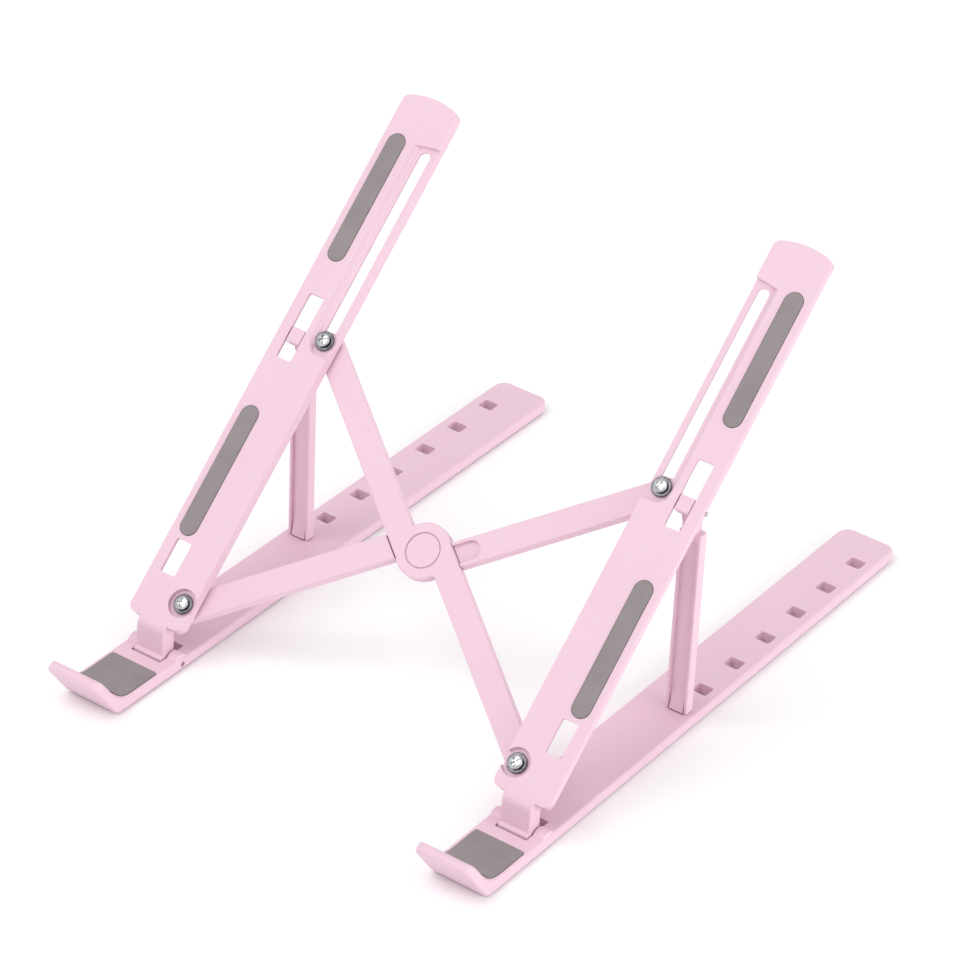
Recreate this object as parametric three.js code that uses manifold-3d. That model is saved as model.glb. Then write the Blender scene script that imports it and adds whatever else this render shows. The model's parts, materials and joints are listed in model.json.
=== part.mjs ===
// Folding laptop stand: two mirrored sides joined by a pair of crossing arms.
//
// Each side is a flat base bar with a front hook, a rail hinged to it, and a strut that stands
// between them. The arms cross at a hub and run from rail to rail, so the stand folds sideways
// like a pair of scissors. Units are millimetres, +Z is up, and the user sits at -Y.
// The origin lies on the desk, midway between the two sides and midway along the base bars.

import * as THREE from 'three';
import { mergeVertices } from 'three/addons/utils/BufferGeometryUtils.js';
import Module from 'manifold-3d';

const wasm = await Module();
wasm.setup();

// ---------------------------------------------------------------- driving dimensions

const GAP = 0.3; // clearance kept between neighbouring pieces
const RUN_PAST = 1; // how far a cutter runs past the face it cuts
const ROUND_STEPS = 24; // sides of a full round pin or washer
const ARC_STEPS = 6; // steps along a quarter round of an outline

// Both sides
const BAR_WIDTH = 22.6;
const BAR_CENTRE_X = 76.3; // middle of each side, from the mid-plane
const HALF_BAR = BAR_WIDTH / 2;
const INNER_LINE = -6.8; // line of the arm pivots, from the bar's middle, outwards is plus
const OUTER_LINE = 4.5; // line of the strut, its window and its holes
const EDGE_BEVEL = 0.5;

// Base bar
const BASE_BOTTOM = 0.5;
const BASE_TOP = 4.6;
const BASE_REAR_Y = 132.65;
const BASE_REAR_RADIUS = 5;

// Hook at the front of the base bar
const CURL_TOP_Y = -113; // where the top face starts to curl up
const CURL_TOP_RADIUS = 14;
const CURL_UNDER_Y = -119.9; // where the underside starts to curl up
const CURL_UNDER_RADIUS = 4;
const HOOK_SLOPE = THREE.MathUtils.degToRad(53);
const HOOK_STRAIGHT = 8.7; // straight part of the hook's upper face
const HOOK_CORNER_RADIUS = 3.5;

// Holes that the strut stands in
const HOLE_COUNT = 7;
const HOLE_PITCH = 20.1;
const HOLE_YS = [-0.85]; // the strut stands in this one
for (let y = 13.65; HOLE_YS.length < HOLE_COUNT; y += HOLE_PITCH) {
  HOLE_YS.push(y);
}
const HOLE_WIDTH = 6;
const HOLE_LENGTH = 5.4;

// Hinge between base bar and rail
const HINGE_Y = -87.5;
const HINGE_Z = 2.7;
const HINGE_PIN_RADIUS = 1;
const HINGE_PIN_INSET = 1; // from the inner face of the bar
const HINGE_BORE_END = 1.5; // from the outer face of the bar
const EAR_RADIUS = 3.6;
const HINGE_SLOT_HALF_WIDTH = 6.3;
const HINGE_SLOT_FRONT_Y = -93.95;
const HINGE_SLOT_REAR_Y = -81;

// Silicone pads
const PAD_PROUD = 0.4;
const PAD_POCKET = 0.9;
const HOOK_PAD_WIDTH = 19.2;
const HOOK_PAD_REAR_Y = -99.6;
const HOOK_PAD_FRONT_Y = -119.6;
const HOOK_PAD_CORNER_RADIUS = 1;
const FOOT_LINE = -4.8;
const FOOT_WIDTH = 6.4;
const FOOT_LENGTH = 30;
const FOOT_POCKET = 0.9;
const FOOT_YS = { front: -60, rear: 112 };
const RAIL_PAD_WIDTH = 6.8;
const RAIL_PAD_OFFSET = 5.1;
const RAIL_PAD_SPANS = { lower: [21.6, 71.8], upper: [129.4, 179.7] };

// Rail, measured along its top face from the lower arm pivot
const RAIL_ANGLE = THREE.MathUtils.degToRad(43.25);
const RAIL_ORIGIN_Y = -83.15;
const RAIL_ORIGIN_Z = 23.7;
const RAIL_THICKNESS = 4.5;
const RAIL_START = -9.6;
const RAIL_END = 193.8;
const RAIL_CROWN = 2; // how far the middle of the top end stands past its corners
const RAIL_CORNER_RADIUS = 2.4;
const RECESS_DEPTH = 1.6;
const RECESS_EDGE = -2.5;
const RECESS_SPAN = [96.6, 179.4];
const COUNTERBORE_RADIUS = 5.2;
const SLOT_HALF_WIDTH = 2.15;
const SLOT_TOP = 175.2;
const WINDOW_HALF_WIDTH = 2.9;
const LOWER_WINDOW_SPAN = [6.9, 19.7];
const STRUT_WINDOW_SPAN = [90.9, 115.9];

// Neck that joins the rail to the hinge
const NECK_HALF_WIDTH = 5.9;
const NECK_FRONT = -4.25; // from the hinge axis
const NECK_REAR = 1.9;
const NECK_BEND = 1.6; // length that the rounded bend takes off each face
const HEEL_FRONT = -5.7;
const HEEL_TOP = 3.1;
const BARREL_RADIUS = 2.2;

// Strut, measured down from its pin
const STRUT_PIN_ALONG = 100.3;
const STRUT_PIN_DEPTH = 3;
const STRUT_PIN_RADIUS = 0.85;
const STRUT_LEAN = THREE.MathUtils.degToRad(2);
const KNUCKLE_HALF_WIDTH = 2.6;
const KNUCKLE_LOW = -1.7; // along the rail from the pin
const KNUCKLE_HIGH = 2.6;
const STRUT_HALF_WIDTH = 4.3;
const STRUT_FRONT = 1.9;
const STRUT_REAR = 6;
const STRUT_SHOULDER = 11.5;
const STRUT_FOOT_CLEARANCE = 0.35;
const STRUT_CHANNEL_DEPTH = 1.3;
const STRUT_FLANGE = 1.1;
const TAB_HALF_WIDTH = 2.4;
const TOE_HEIGHT = 5;
const TAB_DEPTH = 1;

// Crossing arms, in the plane under the rails
const ARM_WIDTH = 9.5;
const ARM_TOP = -5.1;
const ARM_BOTTOM = -9.5;
const ARM_FOLDED_OFFSET = 5; // each arm half lies this far from the hub's line when folded
const HUB_RADIUS = 10;
const LAP_MIDDLE = (ARM_TOP + ARM_BOTTOM) / 2;
const LOWER_PIVOT_X = BAR_CENTRE_X + INNER_LINE;
const UPPER_PIVOT_ALONG = 102.5;
const BOSS_RADIUS = 1.85;
const POCKET_DEPTH = 1.5;
const POCKET_HALF_WIDTH = 3.6;
const POCKET_REACH = 18.5;

// Pivot hardware
const SCREW_RADIUS = 1.2;
const SCREW_HEAD_RADIUS = 2.45;
const SCREW_HEAD_HEIGHT = 1.3;
const SCREW_RECESS_WIDTH = 0.7;
const WASHER_RADIUS = 3.6;
const WASHER_THICKNESS = 0.8;
const NUT_FLATS = 5;
const NUT_THICKNESS = 1.8;

// Hub hardware
const HUB_CAP_RADIUS = 6.1;
const HUB_CAP_THICKNESS = 1;
const HUB_SLEEVE_RADIUS = 3.2;
const HUB_SCREW_HEAD_RADIUS = 4;
const HUB_SCREW_HEAD_HEIGHT = 1.4;

// ---------------------------------------------------------------- derived places

const HALF_ARM = Math.hypot(LOWER_PIVOT_X, UPPER_PIVOT_ALONG / 2);
const FOLDED_HALF_REACH = Math.sqrt(HALF_ARM ** 2 - ARM_FOLDED_OFFSET ** 2);
const OPEN_ANGLE = Math.acos(ARM_FOLDED_OFFSET / HALF_ARM)
  - Math.atan2(UPPER_PIVOT_ALONG / 2, LOWER_PIVOT_X);

// ---------------------------------------------------------------- materials

const pinkPlastic = new THREE.MeshStandardMaterial({ color: 0xf4d0df, roughness: 0.42, metalness: 0 });
const silicone = new THREE.MeshStandardMaterial({ color: 0x9c9193, roughness: 0.75, metalness: 0 });
const chrome = new THREE.MeshStandardMaterial({ color: 0xc9cbce, roughness: 0.22, metalness: 1 });
const darkChrome = new THREE.MeshStandardMaterial({ color: 0x6d6a6e, roughness: 0.3, metalness: 1 });

// ---------------------------------------------------------------- solids and cuts

function solid(geometry) {
  const positions = geometry.clone();
  positions.deleteAttribute('normal');
  positions.deleteAttribute('uv');
  const merged = mergeVertices(positions, 1e-4);
  const triVerts = Uint32Array.from(merged.index.array);
  const vertProperties = Float32Array.from(merged.attributes.position.array);
  return new wasm.Manifold(new wasm.Mesh({ numProp: 3, vertProperties, triVerts }));
}

function geometryOf(body) {
  const mesh = body.getMesh();
  const geometry = new THREE.BufferGeometry();
  geometry.setAttribute('position', new THREE.BufferAttribute(mesh.vertProperties, 3));
  geometry.setIndex(new THREE.BufferAttribute(mesh.triVerts, 1));
  geometry.computeVertexNormals();
  return geometry;
}

function union(bodies) {
  return bodies.reduce((whole, body) => whole.add(body));
}

function cut(body, cutters) {
  return cutters.reduce((rest, cutter) => rest.subtract(cutter), body);
}

const UPRIGHT = new THREE.Matrix4();
const ALONG_X = new THREE.Matrix4().makeBasis(
  new THREE.Vector3(0, 1, 0),
  new THREE.Vector3(0, 0, 1),
  new THREE.Vector3(1, 0, 0),
);
const ALONG_Y = new THREE.Matrix4().makeBasis(
  new THREE.Vector3(0, 0, 1),
  new THREE.Vector3(1, 0, 0),
  new THREE.Vector3(0, 1, 0),
);

// Extrudes an outline between two levels, with its edges bevelled when bevel is more than zero.
function prism(shape, low, high, orientation = UPRIGHT, bevel = 0) {
  const geometry = new THREE.ExtrudeGeometry(shape, {
    depth: high - low - 2 * bevel,
    bevelEnabled: bevel > 0,
    bevelThickness: bevel,
    bevelSize: bevel,
    bevelOffset: -bevel,
    bevelSegments: 1,
    curveSegments: ARC_STEPS,
  });
  geometry.translate(0, 0, low + bevel);
  geometry.applyMatrix4(orientation);
  return solid(geometry);
}

function box(x0, x1, y0, y1, z0, z1) {
  const geometry = new THREE.BoxGeometry(Math.abs(x1 - x0), y1 - y0, z1 - z0);
  geometry.translate((x0 + x1) / 2, (y0 + y1) / 2, (z0 + z1) / 2);
  return solid(geometry);
}

function roundBar(radius, x, y, low, high, steps = ROUND_STEPS) {
  const geometry = new THREE.CylinderGeometry(radius, radius, high - low, steps);
  geometry.rotateX(Math.PI / 2);
  geometry.translate(x, y, (low + high) / 2);
  return solid(geometry);
}

function roundBarAlongX(radius, x0, x1, y, z, steps = ROUND_STEPS) {
  const geometry = new THREE.CylinderGeometry(radius, radius, Math.abs(x1 - x0), steps);
  geometry.rotateZ(Math.PI / 2);
  geometry.translate((x0 + x1) / 2, y, z);
  return solid(geometry);
}

function outline(points) {
  return new THREE.Shape(points.map(([a, b]) => new THREE.Vector2(a, b)));
}

// Rectangle with its corners rounded.
function roundedRectangle(a0, a1, b0, b1, radius) {
  const shape = new THREE.Shape();
  const r = radius;
  shape.moveTo(a0 + r, b0);
  shape.lineTo(a1 - r, b0);
  shape.absarc(a1 - r, b0 + r, r, -Math.PI / 2, 0);
  shape.lineTo(a1, b1 - r);
  shape.absarc(a1 - r, b1 - r, r, 0, Math.PI / 2);
  shape.lineTo(a0 + r, b1);
  shape.absarc(a0 + r, b1 - r, r, Math.PI / 2, Math.PI);
  shape.lineTo(a0, b0 + r);
  shape.absarc(a0 + r, b0 + r, r, Math.PI, 1.5 * Math.PI);
  return shape;
}

// Long hole or pad with two half-round ends, running along b.
function obround(a, halfWidth, b0, b1) {
  const shape = new THREE.Shape();
  shape.moveTo(a + halfWidth, b0 + halfWidth);
  shape.lineTo(a + halfWidth, b1 - halfWidth);
  shape.absarc(a, b1 - halfWidth, halfWidth, 0, Math.PI);
  shape.lineTo(a - halfWidth, b0 + halfWidth);
  shape.absarc(a, b0 + halfWidth, halfWidth, Math.PI, 2 * Math.PI);
  return shape;
}

function namedMesh(name, body, material) {
  const mesh = new THREE.Mesh(geometryOf(body), material);
  mesh.name = name;
  return mesh;
}

// ---------------------------------------------------------------- base bar

// Where the straight faces of the hook begin and end, as [y, z].
const hookAlong = new THREE.Vector2(-Math.cos(HOOK_SLOPE), Math.sin(HOOK_SLOPE));
const hookInward = new THREE.Vector2(Math.sin(HOOK_SLOPE), Math.cos(HOOK_SLOPE));
const curlTop = new THREE.Vector2(CURL_TOP_Y, BASE_TOP + CURL_TOP_RADIUS);
const curlUnder = new THREE.Vector2(CURL_UNDER_Y, BASE_BOTTOM + CURL_UNDER_RADIUS);
const topStart = curlTop.clone().addScaledVector(hookInward, -CURL_TOP_RADIUS);
const underStart = curlUnder.clone().addScaledVector(hookInward, -CURL_UNDER_RADIUS);
const topEnd = topStart.clone().addScaledVector(hookAlong, HOOK_STRAIGHT);
const hookThickness = topEnd.clone().sub(underStart).dot(hookInward);
const tipRadius = hookThickness / 2;
const tipCentre = topEnd.clone().addScaledVector(hookInward, -tipRadius);
const HOOK_TOP = tipCentre.y + tipRadius;

// Side outline of the bar and its hook.
function baseSideOutline() {
  const low = 1.5 * Math.PI;
  const facing = Math.PI / 2 - HOOK_SLOPE;
  const shape = new THREE.Shape();
  shape.moveTo(BASE_REAR_Y, BASE_BOTTOM);
  shape.lineTo(BASE_REAR_Y, BASE_TOP);
  shape.lineTo(CURL_TOP_Y, BASE_TOP);
  shape.absarc(curlTop.x, curlTop.y, CURL_TOP_RADIUS, low, low - HOOK_SLOPE, true);
  shape.lineTo(topEnd.x, topEnd.y);
  shape.absarc(tipCentre.x, tipCentre.y, tipRadius, facing, facing + Math.PI, false);
  shape.lineTo(underStart.x, underStart.y);
  shape.absarc(curlUnder.x, curlUnder.y, CURL_UNDER_RADIUS, low - HOOK_SLOPE, low, false);
  return shape;
}

// Band that follows the top face and its curl, between two heights above it.
function topBand(low, high) {
  const straightDown = 1.5 * Math.PI;
  const shape = new THREE.Shape();
  shape.moveTo(0, BASE_TOP + high);
  shape.lineTo(CURL_TOP_Y, BASE_TOP + high);
  shape.absarc(curlTop.x, curlTop.y, CURL_TOP_RADIUS - high, straightDown, straightDown - HOOK_SLOPE, true);
  shape.absarc(curlTop.x, curlTop.y, CURL_TOP_RADIUS - low, straightDown - HOOK_SLOPE, straightDown, false);
  shape.lineTo(0, BASE_TOP + low);
  return shape;
}

function ears(centreX) {
  const shape = new THREE.Shape();
  shape.moveTo(HINGE_Y - EAR_RADIUS, BASE_BOTTOM + RUN_PAST);
  shape.lineTo(HINGE_Y + EAR_RADIUS, BASE_BOTTOM + RUN_PAST);
  shape.lineTo(HINGE_Y + EAR_RADIUS, HINGE_Z);
  shape.absarc(HINGE_Y, HINGE_Z, EAR_RADIUS, 0, Math.PI);
  return [-1, 1].map((edge) => {
    const near = centreX + edge * HINGE_SLOT_HALF_WIDTH;
    const far = centreX + edge * (HALF_BAR - EDGE_BEVEL);
    return prism(shape, Math.min(near, far), Math.max(near, far), ALONG_X);
  });
}

function holeCutters(side) {
  const x = side * (BAR_CENTRE_X + OUTER_LINE);
  return HOLE_YS.map((y) => box(
    x - HOLE_WIDTH / 2, x + HOLE_WIDTH / 2,
    y - HOLE_LENGTH / 2, y + HOLE_LENGTH / 2,
    BASE_BOTTOM - RUN_PAST, BASE_TOP + RUN_PAST,
  ));
}

function footOutline(side, y, clearance) {
  const x = side * (BAR_CENTRE_X + FOOT_LINE);
  const halfWidth = FOOT_WIDTH / 2 + clearance;
  const halfLength = FOOT_LENGTH / 2 + clearance;
  return roundedRectangle(x - halfWidth, x + halfWidth, y - halfLength, y + halfLength, 2);
}

// Pad in the hook, or its pocket, following the bar's top face up the curl.
function hookPad(centreX, low, high, clearance) {
  const halfWidth = HOOK_PAD_WIDTH / 2 + clearance;
  const plan = prism(
    roundedRectangle(
      centreX - halfWidth, centreX + halfWidth,
      HOOK_PAD_FRONT_Y - clearance, HOOK_PAD_REAR_Y + clearance,
      HOOK_PAD_CORNER_RADIUS + clearance,
    ),
    0, HOOK_TOP,
  );
  return plan.intersect(prism(topBand(low, high), centreX - HALF_BAR, centreX + HALF_BAR, ALONG_X));
}

function baseBar(side) {
  const centreX = side * BAR_CENTRE_X;
  const blank = prism(baseSideOutline(), centreX - HALF_BAR, centreX + HALF_BAR, ALONG_X);
  const plan = prism(
    roundedRectangle(
      centreX - HALF_BAR, centreX + HALF_BAR,
      -2 * BASE_REAR_Y, BASE_REAR_Y, BASE_REAR_RADIUS,
    ),
    0, HOOK_TOP + RUN_PAST,
  );
  const front = prism(
    roundedRectangle(-HOOK_TOP, HOOK_TOP, centreX - HALF_BAR, centreX + HALF_BAR, HOOK_CORNER_RADIUS),
    -2 * BASE_REAR_Y, 2 * BASE_REAR_Y, ALONG_Y,
  );
  const bar = union([blank.intersect(plan).intersect(front), ...ears(centreX)]);
  const hingeSlot = box(centreX - HINGE_SLOT_HALF_WIDTH, centreX + HINGE_SLOT_HALF_WIDTH,
    HINGE_SLOT_FRONT_Y, HINGE_SLOT_REAR_Y, BASE_BOTTOM - RUN_PAST, BASE_TOP + EAR_RADIUS);
  const boreStart = centreX - side * (HALF_BAR + RUN_PAST);
  const boreEnd = centreX + side * (HALF_BAR - HINGE_BORE_END);
  const pinBore = roundBarAlongX(HINGE_PIN_RADIUS + GAP, boreStart, boreEnd, HINGE_Y, HINGE_Z);
  const padPocket = hookPad(centreX, -PAD_POCKET, RUN_PAST, GAP);
  const footPockets = Object.values(FOOT_YS).map((y) => (
    prism(footOutline(side, y, GAP), BASE_BOTTOM - RUN_PAST, BASE_BOTTOM + FOOT_POCKET)
  ));
  return cut(bar, [hingeSlot, pinBore, padPocket, ...footPockets, ...holeCutters(side)]);
}

function baseMeshes(side, name) {
  const centreX = side * BAR_CENTRE_X;
  const pinStart = centreX - side * (HALF_BAR - HINGE_PIN_INSET);
  const pinEnd = centreX + side * (HALF_BAR - HINGE_BORE_END - GAP);
  const pin = roundBarAlongX(HINGE_PIN_RADIUS, pinStart, pinEnd, HINGE_Y, HINGE_Z);
  const pad = hookPad(centreX, -PAD_POCKET + GAP, PAD_PROUD, 0);
  const feet = Object.entries(FOOT_YS).map(([place, y]) => namedMesh(
    `${name}_${place}_foot_pad`,
    prism(footOutline(side, y, 0), 0, BASE_BOTTOM + FOOT_POCKET - GAP),
    silicone,
  ));
  return [
    namedMesh(`${name}_base_bar`, baseBar(side), pinkPlastic),
    namedMesh(`${name}_hinge_pin`, pin, chrome),
    namedMesh(`${name}_hook_pad`, pad, silicone),
    ...feet,
  ];
}

// ---------------------------------------------------------------- rail

// Places in the rail's own frame: x across, y along the rail, z out of its top face.
const railFrame = new THREE.Matrix4()
  .makeTranslation(0, RAIL_ORIGIN_Y, RAIL_ORIGIN_Z)
  .multiply(new THREE.Matrix4().makeRotationX(RAIL_ANGLE));
const hingeInRail = new THREE.Vector3(0, HINGE_Y, HINGE_Z).applyMatrix4(railFrame.clone().invert());

function railOutline(centreX) {
  const r = RAIL_CORNER_RADIUS;
  const [x0, x1] = [centreX - HALF_BAR, centreX + HALF_BAR];
  const shape = new THREE.Shape();
  shape.moveTo(x0 + r, RAIL_START);
  shape.lineTo(x1 - r, RAIL_START);
  shape.absarc(x1 - r, RAIL_START + r, r, -Math.PI / 2, 0);
  shape.lineTo(x1, RAIL_END - r);
  shape.absarc(x1 - r, RAIL_END - r, r, 0, Math.PI / 2);
  shape.quadraticCurveTo(centreX, RAIL_END + 2 * RAIL_CROWN, x0 + r, RAIL_END);
  shape.absarc(x0 + r, RAIL_END - r, r, Math.PI / 2, Math.PI);
  shape.lineTo(x0, RAIL_START + r);
  shape.absarc(x0 + r, RAIL_START + r, r, Math.PI, 1.5 * Math.PI);
  return shape;
}

// A place on the rail's side outline, seen from the hinge axis in the upright frame.
function fromHinge(along, height) {
  const place = new THREE.Vector3(0, along, height).applyMatrix4(railFrame);
  return [place.y - HINGE_Y, place.z - HINGE_Z];
}

// Side outline of the neck about the hinge axis. Its front bends into the rail's top face.
function neckOutline() {
  const bendAlong = (NECK_FRONT + HINGE_Y - RAIL_ORIGIN_Y) / Math.cos(RAIL_ANGLE);
  const bend = fromHinge(bendAlong, 0);
  const shape = new THREE.Shape();
  shape.moveTo(0, -1.6);
  shape.lineTo(NECK_REAR, 0.6);
  shape.lineTo(NECK_REAR, 12.6);
  shape.lineTo(...fromHinge(RAIL_START + 2.6, -2));
  shape.lineTo(...fromHinge(RAIL_START + 1.6, 0));
  shape.lineTo(...fromHinge(bendAlong + NECK_BEND, 0));
  shape.quadraticCurveTo(...bend, NECK_FRONT, bend[1] - NECK_BEND);
  shape.lineTo(NECK_FRONT, HEEL_TOP);
  shape.lineTo(HEEL_FRONT + 0.7, HEEL_TOP - 0.2);
  shape.lineTo(HEEL_FRONT + 0.1, HEEL_TOP - 0.7);
  shape.lineTo(HEEL_FRONT, HEEL_TOP - 1.5);
  shape.lineTo(HEEL_FRONT, 0.9);
  shape.lineTo(HEEL_FRONT + 0.6, 0.2);
  shape.lineTo(HEEL_FRONT + 1.7, -0.5);
  shape.lineTo(HEEL_FRONT + 3.1, -1.2);
  return shape;
}

function neck(centreX) {
  const [x0, x1] = [centreX - NECK_HALF_WIDTH, centreX + NECK_HALF_WIDTH];
  const barrel = roundBarAlongX(BARREL_RADIUS, x0, x1, 0, 0);
  const web = prism(neckOutline(), x0, x1, ALONG_X);
  const geometry = geometryOf(barrel.add(web));
  geometry.rotateX(-RAIL_ANGLE);
  geometry.translate(0, hingeInRail.y, hingeInRail.z);
  return solid(geometry);
}

function railCutters(side) {
  const centreX = side * BAR_CENTRE_X;
  const innerX = centreX + side * INNER_LINE;
  const outerX = centreX + side * OUTER_LINE;
  const padX = centreX + side * RAIL_PAD_OFFSET;
  const [recessStart, recessEnd] = RECESS_SPAN;
  const innerEdge = centreX - side * (HALF_BAR + RUN_PAST);
  const recessEdge = centreX + side * RECESS_EDGE;
  const recessShape = new THREE.Shape();
  recessShape.moveTo(innerEdge, recessEnd);
  recessShape.lineTo(innerEdge, recessStart);
  recessShape.lineTo(innerX, recessStart);
  recessShape.absellipse(
    innerX, UPPER_PIVOT_ALONG, Math.abs(recessEdge - innerX), UPPER_PIVOT_ALONG - recessStart,
    1.5 * Math.PI, side > 0 ? 2 * Math.PI : Math.PI, side < 0,
  );
  recessShape.lineTo(recessEdge, recessEnd - 1);
  recessShape.lineTo((innerEdge + recessEdge) / 2, recessEnd);
  const recess = prism(recessShape, -RECESS_DEPTH, RUN_PAST);
  const counterbore = roundBar(COUNTERBORE_RADIUS, innerX, 0, -RECESS_DEPTH, RUN_PAST);
  const pivotHole = roundBar(BOSS_RADIUS + GAP, innerX, 0, -RAIL_THICKNESS - RUN_PAST, 0);
  const slot = prism(
    obround(innerX, SLOT_HALF_WIDTH, UPPER_PIVOT_ALONG - SLOT_HALF_WIDTH, SLOT_TOP + SLOT_HALF_WIDTH),
    -RAIL_THICKNESS - RUN_PAST, 0,
  );
  const windows = [LOWER_WINDOW_SPAN, STRUT_WINDOW_SPAN].map(([from, to]) => prism(
    roundedRectangle(outerX - WINDOW_HALF_WIDTH, outerX + WINDOW_HALF_WIDTH, from, to, 0.9),
    -RAIL_THICKNESS - RUN_PAST, RUN_PAST,
  ));
  const pads = Object.values(RAIL_PAD_SPANS).map(([from, to]) => prism(
    obround(padX, RAIL_PAD_WIDTH / 2 + GAP, from - GAP, to + GAP), -PAD_POCKET, RUN_PAST,
  ));
  const pinBore = roundBarAlongX(STRUT_PIN_RADIUS + GAP, centreX - side * 1.5,
    centreX + side * (HALF_BAR + RUN_PAST), STRUT_PIN_ALONG, -STRUT_PIN_DEPTH);
  const hingeBore = roundBarAlongX(HINGE_PIN_RADIUS + GAP, centreX - NECK_HALF_WIDTH - RUN_PAST,
    centreX + NECK_HALF_WIDTH + RUN_PAST, hingeInRail.y, hingeInRail.z);
  return [recess, counterbore, pivotHole, slot, ...windows, ...pads, pinBore, hingeBore];
}

function railMeshes(side, name) {
  const centreX = side * BAR_CENTRE_X;
  const padX = centreX + side * RAIL_PAD_OFFSET;
  const plate = prism(railOutline(centreX), -RAIL_THICKNESS, 0, UPRIGHT, EDGE_BEVEL);
  const rail = cut(plate.add(neck(centreX)), railCutters(side));
  const pads = Object.entries(RAIL_PAD_SPANS).map(([place, [from, to]]) => namedMesh(
    `${name}_${place}_rail_pad`,
    prism(obround(padX, RAIL_PAD_WIDTH / 2, from, to), -PAD_POCKET + GAP, PAD_PROUD),
    silicone,
  ));
  const pin = roundBarAlongX(STRUT_PIN_RADIUS, centreX - side * (1.5 - GAP),
    centreX + side * (HALF_BAR + GAP), STRUT_PIN_ALONG, -STRUT_PIN_DEPTH);
  return [
    namedMesh(`${name}_rail`, rail, pinkPlastic),
    ...pads,
    namedMesh(`${name}_strut_pin`, pin, chrome),
  ];
}

// ---------------------------------------------------------------- strut

const strutPin = new THREE.Vector3(0, STRUT_PIN_ALONG, -STRUT_PIN_DEPTH).applyMatrix4(railFrame);

// Side outline of the knuckle and the web under it, about the pin. The knuckle's block lies along
// the rail and ends flush with its top face.
function knuckleOutline() {
  const turn = RAIL_ANGLE - STRUT_LEAN;
  const onRail = (along, height) => [
    along * Math.cos(turn) - height * Math.sin(turn),
    along * Math.sin(turn) + height * Math.cos(turn),
  ];
  return outline([
    onRail(KNUCKLE_LOW, STRUT_PIN_DEPTH - 0.6),
    onRail(KNUCKLE_LOW, -1.2),
    [0.4, -3],
    [STRUT_FRONT, -STRUT_SHOULDER + 3],
    [STRUT_FRONT, -STRUT_SHOULDER - RUN_PAST],
    [STRUT_REAR, -STRUT_SHOULDER - RUN_PAST],
    [STRUT_REAR, -4],
    onRail(KNUCKLE_HIGH, -1.6),
    onRail(KNUCKLE_HIGH, STRUT_PIN_DEPTH - 0.6),
    onRail(KNUCKLE_HIGH - 0.6, STRUT_PIN_DEPTH),
    onRail(KNUCKLE_LOW + 0.6, STRUT_PIN_DEPTH),
  ]);
}

function strut(side) {
  const x = side * (BAR_CENTRE_X + OUTER_LINE);
  const [x0, x1] = [x - KNUCKLE_HALF_WIDTH, x + KNUCKLE_HALF_WIDTH];
  const footZ = (BASE_TOP + STRUT_FOOT_CLEARANCE - strutPin.z) / Math.cos(STRUT_LEAN);
  const tabZ = (BASE_TOP - TAB_DEPTH - strutPin.z) / Math.cos(STRUT_LEAN);
  const knuckle = prism(knuckleOutline(), x0, x1, ALONG_X);
  const body = prism(
    roundedRectangle(x - STRUT_HALF_WIDTH, x + STRUT_HALF_WIDTH, STRUT_FRONT, STRUT_REAR, 0.5),
    footZ, -STRUT_SHOULDER,
  );
  const channelFloor = STRUT_FRONT + STRUT_CHANNEL_DEPTH;
  const channel = box(
    x - STRUT_HALF_WIDTH + STRUT_FLANGE, x + STRUT_HALF_WIDTH - STRUT_FLANGE,
    STRUT_FRONT - RUN_PAST, channelFloor,
    footZ - RUN_PAST, -STRUT_SHOULDER - 3,
  );
  const toe = prism(
    outline([
      [channelFloor, footZ + TOE_HEIGHT],
      [STRUT_FRONT, footZ + TOE_HEIGHT / 4],
      [STRUT_FRONT, footZ],
      [channelFloor, footZ],
      [channelFloor, tabZ],
      [STRUT_REAR, tabZ],
      [STRUT_REAR, footZ + TOE_HEIGHT],
    ]),
    x - TAB_HALF_WIDTH, x + TAB_HALF_WIDTH, ALONG_X,
  );
  const pinBore = roundBarAlongX(STRUT_PIN_RADIUS + GAP, x0 - RUN_PAST, x1 + RUN_PAST, 0, 0);
  return cut(knuckle.add(body), [channel]).add(toe).subtract(pinBore);
}

function strutMesh(side, name) {
  const mesh = namedMesh(`${name}_strut`, strut(side), pinkPlastic);
  mesh.position.set(0, strutPin.y, strutPin.z);
  mesh.rotation.x = STRUT_LEAN;
  return mesh;
}

// ---------------------------------------------------------------- crossing arms

// Arm halves in the folded pose: x across, y along. Handed -1 has its upper half at -x.
function armPlan(handed, reach) {
  const near = handed * (ARM_FOLDED_OFFSET - ARM_WIDTH / 2);
  const far = handed * (ARM_FOLDED_OFFSET + ARM_WIDTH / 2);
  const [low, high] = [Math.min(near, far), Math.max(near, far)];
  return roundedRectangle(low, high, reach, FOLDED_HALF_REACH + ARM_WIDTH / 2, ARM_WIDTH / 2 - 0.05);
}

// Half plane past which the arm may keep its full depth, clear of the other arm when open.
function lapStep(handed) {
  const turn = handed * (2 * OPEN_ANGLE - Math.PI / 2);
  const distance = ARM_FOLDED_OFFSET + ARM_WIDTH / 2 + 0.35;
  const shape = outline([[-60, distance], [60, distance], [60, 200], [-60, 200]]);
  const geometry = geometryOf(prism(shape, ARM_BOTTOM - RUN_PAST, ARM_TOP + RUN_PAST));
  geometry.rotateZ(turn);
  return solid(geometry);
}

function halfTurned(body) {
  const geometry = geometryOf(body);
  geometry.rotateZ(Math.PI);
  return solid(geometry);
}

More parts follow.
